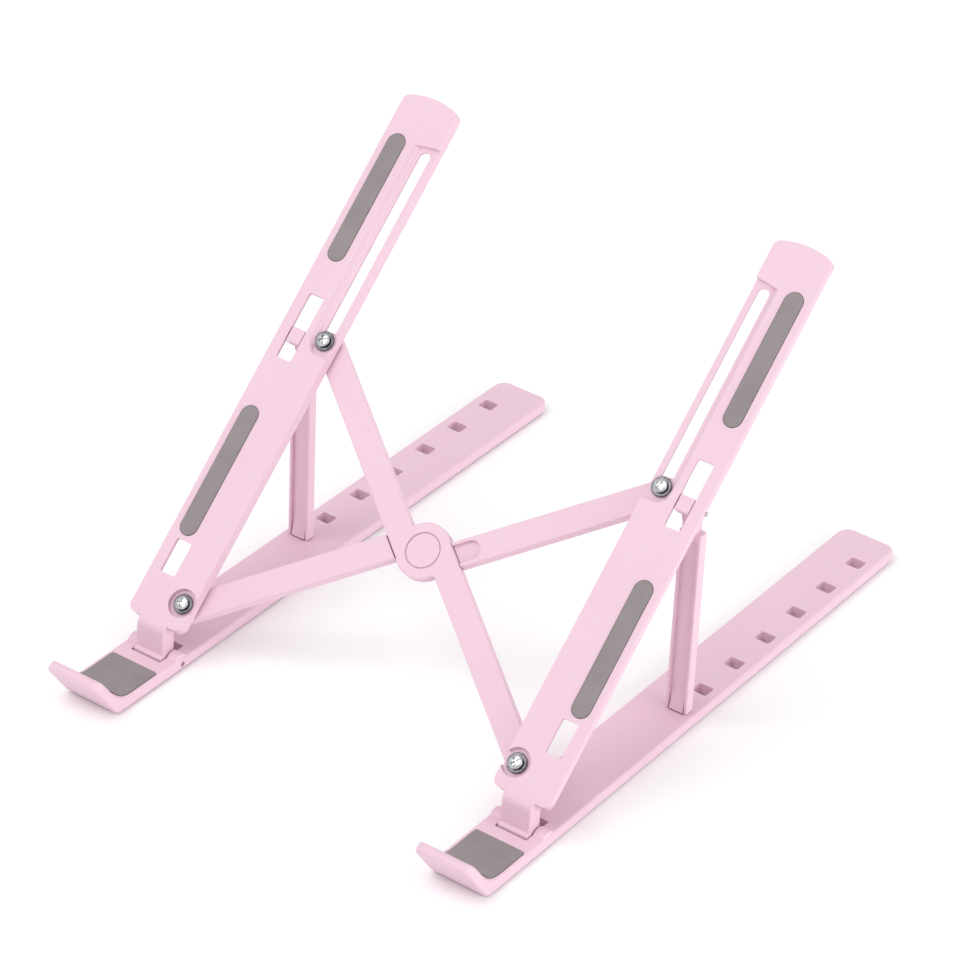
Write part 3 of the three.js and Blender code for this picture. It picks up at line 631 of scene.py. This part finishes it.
# The post below the rail: half width, front and back faces, and its bend into the rail's face.
NECK_HALF = 5.9
NECK_FRONT = -4.25
NECK_BACK = 1.9
NECK_BEND = 1.9
NECK_BORE_RADIUS = 1.3

PAD_RADIUS = 3.4
PAD_GAP = 0.22
RAIL_PADS = {"lower": (21.6, 71.8), "upper": (129.4, 179.7)}

WINDOWS = ((6.9, 19.7), (90.9, 115.9))
WINDOW_HALF = 3.15
WINDOW_SKIN = 1.1
WINDOW_FLARE = 1.9

# The recess beside the slot. Its long wall slopes from one distance inwards of the bar's middle,
# at the recess's floor, to another just above the rail's face.
RECESS_DEPTH = 1.6
RECESS_FOOT = 96.6
RECESS_HEAD = 178.3
RECESS_HEAD_BOW = 1.4
RECESS_FLOOR_WALL = 3.4
RECESS_FACE_WALL = 1.5
SEAT_RADIUS = 5.2

SLOT_HALF = 2.15
SLOT_END = 177.35
SLOT_FLARE = 1.1

# The strut's pin in the rail frame.
STRUT_PIN_ALONG = 100.3
STRUT_PIN_HEIGHT = -3.0
STRUT_PIN_RADIUS = 0.85
STRUT_BORE_RADIUS = 1.15


def rail_plan():
    """The rail from above, about its own middle, with its gently bowed top end."""
    r = RAIL_CORNER
    points = arc(-HALF_BAR + r, RAIL_START + r, r, 180, 270, 8)
    points += arc(HALF_BAR - r, RAIL_START + r, r, 270, 360, 8)
    points += arc(HALF_BAR - r, RAIL_END - r, r, 0, 76, 9)
    ends = points[-1]
    steps = 14
    for i in range(1, steps):
        t = i / steps
        x = ends[0] * (1 - 2 * t)
        points.append((x, ends[1] + 4 * RAIL_CROWN * t * (1 - t)))
    points += arc(-HALF_BAR + r, RAIL_END - r, r, 104, 180, 9)
    return points


def from_hinge(along, height):
    """A place on the rail's side outline, seen from the hinge axis in the upright frame."""
    place = RAIL @ Vector((0, along, height))
    return Vector((place.y - HINGE.y, place.z - HINGE.z))


def neck(side):
    """The post under the rail. Its front bends into the rail's top face, with a heel below."""
    x = side * BAR_X
    bend_along = (NECK_FRONT + HINGE.y - RAIL_ZERO.y) / math.cos(TILT)
    bend = from_hinge(bend_along, 0)
    high = from_hinge(bend_along + NECK_BEND, 0)
    low = Vector((NECK_FRONT, bend.y - NECK_BEND))
    outline = [(0, -1.6), (NECK_BACK, 0.6), (NECK_BACK, 12.6)]
    outline += [tuple(from_hinge(RAIL_START + 2.6, -2)), tuple(from_hinge(RAIL_START + 1.6, 0))]
    for step in range(9):
        t = step / 8
        outline.append(tuple(high * (1 - t) ** 2 + bend * 2 * t * (1 - t) + low * t ** 2))
    outline += [(NECK_FRONT, 3.3), (NECK_FRONT - 0.25, 3.05)]
    outline += arc(-4.75, 1.95, 0.95, 90, 180, 6)
    outline += [(-5.7, 0.9), (-5.1, 0.2), (-4.0, -0.5), (-2.6, -1.2)]
    post = prism(outline, x - NECK_HALF, x + NECK_HALF, ALONG_X)
    soften(post, 0.9, 4, 60)
    post.data.transform(RAIL.inverted() @ at(0, HINGE.y, HINGE.z))
    return post


def side_view_turn(x, side):
    """Turns an (outwards, up) outline of a side so that it runs along the rail."""
    return Matrix(((side, 0, 0, x), (0, 0, 1, 0), (0, 1, 0, 0), (0, 0, 0, 1)))


def recess(side, wall_inset):
    """The recess's outline: a curved lower end, the long wall, and a slightly bowed upper end."""
    inner = side * (BAR_X + PIVOT_LINE)
    edge = side * (BAR_X - HALF_BAR - 2)
    wall = side * (BAR_X - wall_inset)
    reach = abs(wall - inner)
    drop = UPPER_PIVOT - RECESS_FOOT
    outline = [(edge, RECESS_FOOT)]
    for k in range(17):
        t = math.pi / 32 * k
        outline.append((inner + side * reach * math.sin(t), UPPER_PIVOT - drop * math.cos(t)))
    outline.append((wall, RECESS_HEAD))
    for t in (0.25, 0.5, 0.75, 1.0):
        rise = RECESS_HEAD_BOW * math.sin(math.pi / 2 * t)
        outline.append((wall + (edge - wall) * t, RECESS_HEAD + rise))
    return outline


def through(x, half, y0, y1, corner, skin, flare):
    """Cutters for an opening. Below a skin, its walls flare towards the rail's underside."""
    straight = rounded(x - half, x + half, y0, y1, corner, 8)
    half += flare
    wide = rounded(x - half, x + half, y0 - 0.5, y1 + 0.5, corner, 8)
    return [prism(straight, -9, 5), prism(wide, -RAIL_THICKNESS - 0.1, -skin, top=straight)]


def rail(side):
    """The rail and its neck, with the recess, slot, windows, pad pockets and bores cut out."""
    x = side * BAR_X
    inner = side * (BAR_X + PIVOT_LINE)
    body = prism([(x + a, b) for a, b in rail_plan()], -RAIL_THICKNESS, 0)
    outer_bottom = [
        (HALF_BAR - 1.6, -RAIL_THICKNESS - 1),
        (HALF_BAR + 1, -RAIL_THICKNESS - 1),
        (HALF_BAR + 1, -2.2),
        (HALF_BAR, -2.6),
        (HALF_BAR - 1.6, -RAIL_THICKNESS),
    ]
    chamfer = prism(outer_bottom, -200, 300, side_view_turn(x, side))
    body = soften(cut(body, chamfer), 0.8, 4, 60)
    body = add(body, neck(side))
    pin_bore = sorted((x - side * 1.5, x + side * 14))
    pin_line = at(0, STRUT_PIN_ALONG, STRUT_PIN_HEIGHT) @ ALONG_X
    low_recess, high_recess = recess(side, RECESS_FLOOR_WALL), recess(side, RECESS_FACE_WALL)
    slot = (inner, SLOT_HALF, UPPER_PIVOT - SLOT_HALF, SLOT_END)
    cutters = [
        prism(low_recess, -RECESS_DEPTH, 0.4, top=high_recess),
        rod(SEAT_RADIUS, -RECESS_DEPTH, 5, at(inner, 0), 48),
        *through(*slot, 2.1, RECESS_DEPTH + 0.6, SLOT_FLARE),
        rod(SLOT_HALF, -9, 5, at(inner, 0)),
        rod(STRUT_BORE_RADIUS, *pin_bore, pin_line, 24),
    ]
    window_x = side * (BAR_X + WINDOW_LINE)
    for y0, y1 in WINDOWS:
        cutters += through(window_x, WINDOW_HALF, y0, y1, 0.9, WINDOW_SKIN, WINDOW_FLARE)
    pad_x = side * (BAR_X + PAD_LINE)
    for y0, y1 in RAIL_PADS.values():
        pocket = obround(pad_x, PAD_RADIUS + PAD_GAP, y0 - PAD_GAP, y1 + PAD_GAP)
        cutters.append(prism(pocket, -POCKET_DEPTH, 5))
    hinge = RAIL.inverted() @ Vector((0, HINGE.y, HINGE.z))
    cutters.append(rod(NECK_BORE_RADIUS, x - 9, x + 9, at(0, hinge.y, hinge.z) @ ALONG_X, 24))
    body = cut(body, *cutters)
    return soften(body, 0.25, 2, 60)


def rail_pad(side, span):
    outline = obround(side * (BAR_X + PAD_LINE), PAD_RADIUS, *span)
    return soften(prism(outline, -PAD_SUNK, PAD_PROUD), 0.28, 3, 60)


# ------------------------------------------------------------------ struts

STRUT_LEAN = math.radians(2)
STRUT_HALF = 4.3
STRUT_FRONT = 1.9
STRUT_BACK = 6.0
STRUT_HEAD_LOW = -14.0
FOOT_CLEARANCE = 0.2
TAB_DEPTH = 1.15
CHANNEL_HALF = 3.2
CHANNEL_FLOOR = 3.2
KNUCKLE_GAP = 0.35
KNUCKLE_LOW = -3.0
KNUCKLE_HIGH = 2.6


def strut(side):
    """The strut about its pin, hanging down. Its knuckle's block lies flush with the rail."""
    x = side * (BAR_X + STRUT_LINE)
    foot = (BASE_TOP + FOOT_CLEARANCE - STRUT_PIN.z) / math.cos(STRUT_LEAN)
    flush = -STRUT_PIN_HEIGHT
    turn = Matrix.Rotation(TILT - STRUT_LEAN, 2)

    def on_rail(along, height):
        return tuple(turn @ Vector((along, height)))

    side_view = [
        on_rail(KNUCKLE_LOW, flush),
        on_rail(KNUCKLE_LOW, -0.6),
        (0.4, -3.4),
        (STRUT_FRONT, -8.5),
        (STRUT_FRONT, STRUT_HEAD_LOW),
        (STRUT_BACK, STRUT_HEAD_LOW),
        (STRUT_BACK, -4.0),
        on_rail(KNUCKLE_HIGH, -1.6),
        on_rail(KNUCKLE_HIGH, flush),
    ]
    knuckle_half = WINDOW_HALF - KNUCKLE_GAP
    ends = sorted(side * (BAR_X + WINDOW_LINE + end) for end in (-knuckle_half, knuckle_half))
    head = soften(prism(side_view, *ends, ALONG_X), 0.45, 3, 60)
    plan = rounded(x - STRUT_HALF, x + STRUT_HALF, STRUT_FRONT, STRUT_BACK, 0.5, 4)
    body = soften(prism(plan, foot, STRUT_HEAD_LOW + 2.5), 0.45, 3, 60)
    body = add(body, head)
    front_view = rounded(x - CHANNEL_HALF, x + CHANNEL_HALF, foot - 4, STRUT_HEAD_LOW - 0.5, 0.8)
    channel = prism(front_view, -CHANNEL_FLOOR, 5, Matrix.Rotation(math.radians(90), 4, "X"))
    toe_half = 2.7
    slits = [
        block(x + low, x + low + 0.5, 1, 5, foot - 1, foot + 2.4)
        for low in (-CHANNEL_HALF, toe_half)
    ]
    body = cut(body, channel, *slits, rod(STRUT_BORE_RADIUS, x - 8, x + 8, ALONG_X, 24))
    toe = [
        (CHANNEL_FLOOR + 0.01, foot + 9),
        (3.0, foot + 6),
        (2.5, foot + 3),
        (2.0, foot + 0.9),
        (STRUT_FRONT, foot),
        (3.3, foot),
        (3.3, foot - TAB_DEPTH),
        (STRUT_BACK - 0.1, foot - TAB_DEPTH),
        (STRUT_BACK - 0.1, foot + 9),
    ]
    body = add(body, prism(toe, x - toe_half, x + toe_half, ALONG_X))
    return soften(body, 0.25, 3, 60)


# ------------------------------------------------------------------ crossing arms

# Each half of an arm runs beside the hub's middle, by the arm's shift.
ARM_HALF = 4.75
ARM_SHIFT = 5.0
HUB_RADIUS = 10.0
HALF_ARM = math.hypot(PIVOT.x, HUB.y)
REACH = math.sqrt(HALF_ARM ** 2 - ARM_SHIFT ** 2)
OPEN_TURN = math.degrees(math.acos(ARM_SHIFT / HALF_ARM) - math.atan2(HUB.y, PIVOT.x))
LAP = (ARM_TOP + ARM_BOTTOM) / 2
LAP_GAP = 0.15
FASTENER_GAP = 0.3
BOSS_RADIUS = 1.85
BOSS_TOP = -1.9
PIVOT_BORE = 1.5
HUB_BORE = 3.5
CAP_SEAT_RADIUS = 6.5
CAP_SEAT_DEPTH = 0.6
ARM_POCKET_RADIUS = 3.6
ARM_POCKET_REACH = 20.0
ARM_POCKET_DEPTH = 1.5


def arm_plan():
    """An arm with its upper half at -x and its lower half at +x, about the hub."""
    near, far = ARM_SHIFT - ARM_HALF, ARM_SHIFT + ARM_HALF
    top = math.degrees(math.acos(near / HUB_RADIUS))
    side_angle = math.degrees(math.acos(far / HUB_RADIUS))
    half = arc(-ARM_SHIFT, REACH, ARM_HALF, 0, 180, 16)
    half += arc(0, 0, HUB_RADIUS, 180 - side_angle, 360 - top, 30)
    return half + [(-a, -b) for a, b in half]


def arm(handed, on_top):
    """An arm about the hub, lapped at half its thickness where the other arm crosses it."""
    body = prism(mirrored(arm_plan(), -handed), ARM_BOTTOM, ARM_TOP)
    soften(body, 0.6, 4, 40)
    turn = math.radians(handed * (2 * OPEN_TURN - 90))
    low, high = (ARM_BOTTOM - 2, LAP + LAP_GAP) if on_top else (LAP - LAP_GAP, ARM_TOP + 2)
    half_lap = HUB_RADIUS + 0.1
    band = block(-80, 80, -half_lap, half_lap, low, high)
    band.data.transform(Matrix.Rotation(turn, 4, "Z"))
    cutters = [band]
    pivot_x = handed * ARM_SHIFT
    if not on_top:
        pocket = obround(pivot_x, ARM_POCKET_RADIUS, 0, ARM_POCKET_REACH)
        cutters.append(prism(pocket, ARM_TOP - ARM_POCKET_DEPTH, ARM_TOP + 2))
    body = cut(body, *cutters)
    pivots = (at(pivot_x, REACH), at(-pivot_x, -REACH))
    body = add(body, *[rod(BOSS_RADIUS, ARM_TOP - 1, BOSS_TOP, pivot) for pivot in pivots])
    cutters = [rod(PIVOT_BORE, -20, 0, pivot) for pivot in pivots]
    if on_top:
        cutters.append(rod(CAP_SEAT_RADIUS, ARM_TOP - CAP_SEAT_DEPTH, 0, steps=64))
    cutters.append(rod(HUB_BORE, -20, 0, steps=48))
    body = cut(body, *cutters)
    return soften(body, 0.25, 3, 60)


def hub_cap():
    """The round cap, flush with the top arm, with a softly rounded rim."""
    return turned([
        (0, ARM_TOP - 1.0),
        (6.1, ARM_TOP - 1.0),
        (6.1, ARM_TOP - 0.45),
        (6.02, ARM_TOP - 0.25),
        (5.87, ARM_TOP - 0.1),
        (5.65, ARM_TOP),
        (0, ARM_TOP),
    ], 64)


def hub_screw():
    """The head of the screw below the hub, with its cross recess."""
    top = ARM_BOTTOM - FASTENER_GAP
    head = turned([
        (0, top - 1.4),
        (2.6, top - 1.4),
        (3.5, top - 1.15),
        (3.9, top - 0.7),
        (4.0, top - 0.1),
        (4.0, top),
        (0, top),
    ], 48)
    reach, half = 2.2, 0.45
    return cut(
        head,
        block(-reach, reach, -half, half, top - 3, top - 0.7),
        block(-half, half, -reach, reach, top - 3, top - 0.7),
    )


# ------------------------------------------------------------------ pivot hardware

NUT_ACROSS_FLATS = 5.0
NUT_HEIGHT = 1.8


def pivot_screw():
    """The domed head of a pivot screw, with its cross recess."""
    low = -RECESS_DEPTH + 1.4
    head = turned([
        (0, low - 0.9),
        (1.2, low - 0.9),
        (1.2, low),
        (2.3, low),
        (2.45, low + 0.15),
        (2.45, low + 0.55),
        (2.3, low + 0.85),
        (1.9, low + 1.13),
        (1.2, low + 1.27),
        (0, low + 1.3),
    ], 48)
    deep, above = low + 0.35, low + 3
    reach, half = 1.55, 0.28
    cross = [
        block(-reach, reach, -half, half, deep, above),
        block(-half, half, -reach, reach, deep, above),
        turned([(0, deep), (0.55, deep), (0.85, above), (0, above)], 16),
    ]
    head = cut(head, *cross)
    return soften(head, 0.06, 2, 60)


def pivot_washer():
    """The dished washer below a pivot screw's head, with a raised rim."""
    low = -RECESS_DEPTH + FASTENER_GAP
    return turned([
        (1.5, low),
        (3.45, low),
        (3.6, low + 0.15),
        (3.6, low + 0.6),
        (3.52, low + 0.74),
        (3.4, low + 0.8),
        (3.28, low + 0.77),
        (3.2, low + 0.7),
        (1.6, low + 0.7),
        (1.5, low + 0.6),
        (1.5, low),
    ], 64)


def pivot_nut():
    """The hexagonal nut below an arm."""
    high = ARM_BOTTOM - FASTENER_GAP
    radius = NUT_ACROSS_FLATS / math.sqrt(3)
    body = prism(arc(0, 0, radius, 0, 300, 5), high - NUT_HEIGHT, high)
    soften(body, 0.18, 2, 50)
    return cut(body, rod(PIVOT_BORE, high - 3, high + 1))


# ------------------------------------------------------------------ assembly


def build_base(name, side):
    body = f"{name}_base"
    x = side * BAR_X
    finished(base_bar(side), f"{name}_bar", f"{name}_base_bar", PINK, body)
    ends = sorted((x - side * (HALF_BAR - 1.0), x + side * (HALF_BAR - 1.8)))
    pin = soften(rod(HINGE_PIN_RADIUS, *ends, at(0, HINGE.y, HINGE.z) @ ALONG_X, 32), 0.2, 2)
    finished(pin, f"{name}_pin", f"{name}_hinge_pin", CHROME, body)
    pad = soften(hook_pad(x, -PAD_SUNK, PAD_PROUD, 0), 0.25, 3)
    finished(pad, f"{name}_hook_grip", f"{name}_hook_pad", SILICONE, body)
    for place, (y0, y1) in FOOT_SPANS.items():
        foot = prism(foot_outline(side, y0, y1, 0), 0, BASE_BOTTOM + PAD_SUNK)
        finished(soften(foot, 0.25, 3), f"{name}_{place}_foot", f"{name}_{place}_foot_pad",
                 SILICONE, body)


def build_rail(name, side):
    body = f"{name}_rail_body"
    x = side * BAR_X
    finished(rail(side), f"{name}_rail_moulding", f"{name}_rail", PINK, body, RAIL)
    for place, span in RAIL_PADS.items():
        finished(rail_pad(side, span), f"{name}_{place}_rail_grip", f"{name}_{place}_rail_pad",
                 SILICONE, body, RAIL)
    ends = sorted((x - side * 1.2, x + side * (HALF_BAR + 0.3)))
    line = at(0, STRUT_PIN_ALONG, STRUT_PIN_HEIGHT) @ ALONG_X
    pin = soften(rod(STRUT_PIN_RADIUS, *ends, line, 24), 0.2, 2)
    finished(pin, f"{name}_strut_axle", f"{name}_strut_pin", CHROME, body, RAIL)


def build_strut(name, side):
    place = at(0, STRUT_PIN.y, STRUT_PIN.z) @ Matrix.Rotation(STRUT_LEAN, 4, "X")
    finished(strut(side), f"{name}_strut_moulding", f"{name}_strut", PINK,
             f"{name}_strut_body", place)


def build_pivots(name, side):
    """The fasteners at both ends of an arm, each turned a little differently."""
    upper_body = "top_arm_body" if side < 0 else "bottom_arm_body"
    places = (("lower", 0.0, f"{name}_rail_body"), ("upper", UPPER_PIVOT, upper_body))
    for place, y, body in places:
        spin = Matrix.Rotation(0.5 + side * 0.4 + y, 4, "Z")
        spot = RAIL @ at(side * PIVOT.x, y) @ spin
        stem = f"{name}_{place}_pivot"
        finished(pivot_screw(), f"{stem}_screw_head", f"{stem}_screw", CHROME, body, spot)
        finished(pivot_washer(), f"{stem}_cup", f"{stem}_washer", DARK_CHROME, body,
                 spot)
        finished(pivot_nut(), f"{stem}_hex", f"{stem}_nut", CHROME, body, spot)


def build_crossing():
    place = RAIL @ at(0, HUB.y)
    top_place = place @ Matrix.Rotation(math.radians(OPEN_TURN), 4, "Z")
    bottom_place = place @ Matrix.Rotation(math.radians(-OPEN_TURN), 4, "Z")
    finished(arm(-1, True), "top_arm", "top_cross_arm", PINK, "top_arm_body",
             top_place)
    finished(arm(1, False), "bottom_arm", "bottom_cross_arm", PINK, "bottom_arm_body",
             bottom_place)
    finished(hub_cap(), "hub_lid", "hub_cap", PINK, "top_arm_body", place)
    finished(hub_screw(), "hub_screw_head", "hub_screw", CHROME, "top_arm_body", place)


for side_name, side_sign in SIDES.items():
    build_base(side_name, side_sign)
    build_rail(side_name, side_sign)
    build_strut(side_name, side_sign)
    build_pivots(side_name, side_sign)
build_crossing()

# ------------------------------------------------------------------ stage, in metres

FLOOR_REACH = 6.0
LIGHT_TARGET = (0, 0, 0.05)
CAMERA_TARGET = (-0.01068, 0.00563, 0.05484)
CAMERA_DISTANCE = 1.4814
CAMERA_AZIMUTH = math.radians(33.36)
CAMERA_ELEVATION = math.radians(33.03)
CAMERA_ROLL = math.radians(4.06)


def make_floor():
    mesh = bpy.data.meshes.new("floor")
    reach = FLOOR_REACH
    corners = [(-reach, -reach, 0), (reach, -reach, 0), (reach, reach, 0), (-reach, reach, 0)]
    mesh.from_pydata(corners, [], [(0, 1, 2, 3)])
    material, tree, shader = node_material("floor_paint")
    shader.inputs["Base Color"].default_value = (0.96, 0.96, 0.96, 1.0)
    shader.inputs["Roughness"].default_value = 0.9
    shader.inputs["Specular IOR Level"].default_value = 0.1
    mesh.materials.append(material)
    floor = bpy.data.objects.new("floor", mesh)
    bpy.context.collection.objects.link(floor)


def make_light(name, place, size, power):
    """A square softbox that faces the stand."""
    data = bpy.data.lights.new(name, "AREA")
    data.size = size
    data.energy = power
    light = bpy.data.objects.new(name, data)
    light.location = place
    towards = Vector(LIGHT_TARGET) - Vector(place)
    light.rotation_euler = towards.to_track_quat("-Z", "Y").to_euler()
    bpy.context.collection.objects.link(light)


def make_camera():
    """A long lens from the right of the front, a little above, with a slight roll."""
    back = Vector((
        math.sin(CAMERA_AZIMUTH) * math.cos(CAMERA_ELEVATION),
        -math.cos(CAMERA_AZIMUTH) * math.cos(CAMERA_ELEVATION),
        math.sin(CAMERA_ELEVATION),
    ))
    right = Vector((math.cos(CAMERA_AZIMUTH), math.sin(CAMERA_AZIMUTH), 0))
    up = back.cross(right)
    across = right * math.cos(CAMERA_ROLL) + up * math.sin(CAMERA_ROLL)
    upright = -right * math.sin(CAMERA_ROLL) + up * math.cos(CAMERA_ROLL)
    data = bpy.data.cameras.new("camera")
    data.sensor_width = 36
    data.lens = 161.66
    data.clip_start = 0.05
    data.clip_end = 50
    camera = bpy.data.objects.new("camera", data)
    bpy.context.collection.objects.link(camera)
    pose = Matrix((across, upright, back)).transposed().to_4x4()
    pose.translation = Vector(CAMERA_TARGET) + back * CAMERA_DISTANCE
    camera.matrix_world = pose
    bpy.context.scene.camera = camera


def make_world():
    world = bpy.data.worlds.new("studio")
    world.use_nodes = True
    background = world.node_tree.nodes["Background"]
    background.inputs["Color"].default_value = (1.0, 1.0, 1.0, 1.0)
    background.inputs["Strength"].default_value = 0.85
    bpy.context.scene.world = world
    bpy.context.scene.view_settings.view_transform = "Standard"


make_floor()
make_light("key", (-0.5, -1.05, 1.75), 1.2, 13)
make_light("fill", (2.1, 0.1, 0.6), 1.2, 17)
make_camera()
make_world()
